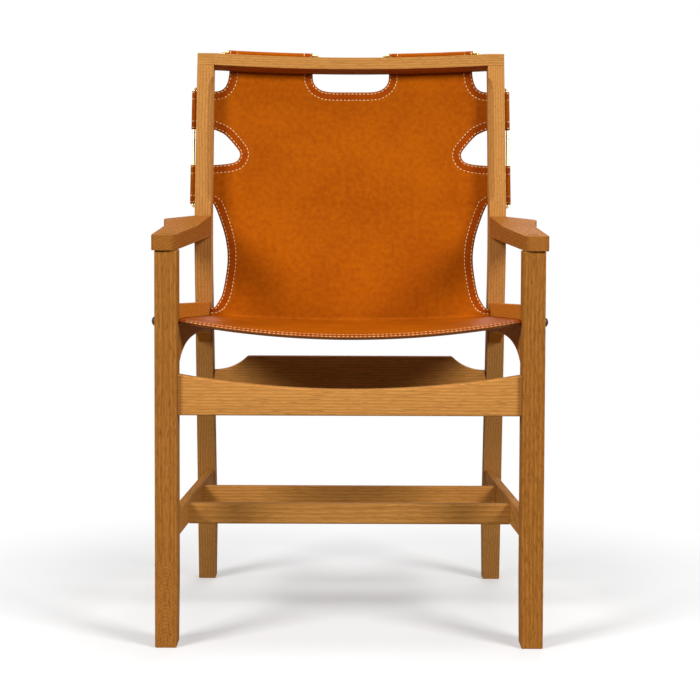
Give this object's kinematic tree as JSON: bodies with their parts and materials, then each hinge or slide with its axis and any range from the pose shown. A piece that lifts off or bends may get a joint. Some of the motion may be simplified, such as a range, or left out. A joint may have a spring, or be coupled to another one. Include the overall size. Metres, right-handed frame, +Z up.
{
  "type": "high-back armchair",
  "caption": "High-back oak armchair with a leather hide as seat and back, hemmed round brass rods on the posts and crest, flared arms and low stretchers.",
  "frame": {"origin": "on the floor at the middle of the box that holds the whole chair", "axes": "+Z up, the chair faces -Y, +X to the right as seen from in front of it; names say left and right as seen from in front"},
  "size_m": [0.6156, 0.525, 0.9275],
  "materials": {
    "oak": "oiled satin",
    "leather": "waxed saddle leather",
    "brass": "polished",
    "bronze": "dark antique"
  },
  "bodies": {
    "root": {"front_leg_right": "oak", "front_leg_left": "oak", "rear_leg_right": "oak", "rear_leg_left": "oak", "arm_right": "oak", "arm_left": "oak", "seat_rail_right": "oak", "seat_rail_left": "oak", "side_stretcher_right": "oak", "side_stretcher_left": "oak", "crest_rail": "oak", "front_apron": "oak", "rear_rail": "oak", "cross_stretcher_front": "oak", "cross_stretcher_rear": "oak", "leather_sling": "leather", "facing_seat_front": "leather", "side_rod_right": "brass", "side_rod_left": "brass", "top_rod_right": "brass", "top_rod_left": "brass", "seat_rod_right": "brass", "seat_rod_left": "brass", "rail_bolt_right": "bronze", "rail_bolt_left": "bronze"}
  },
  "joints": []
}
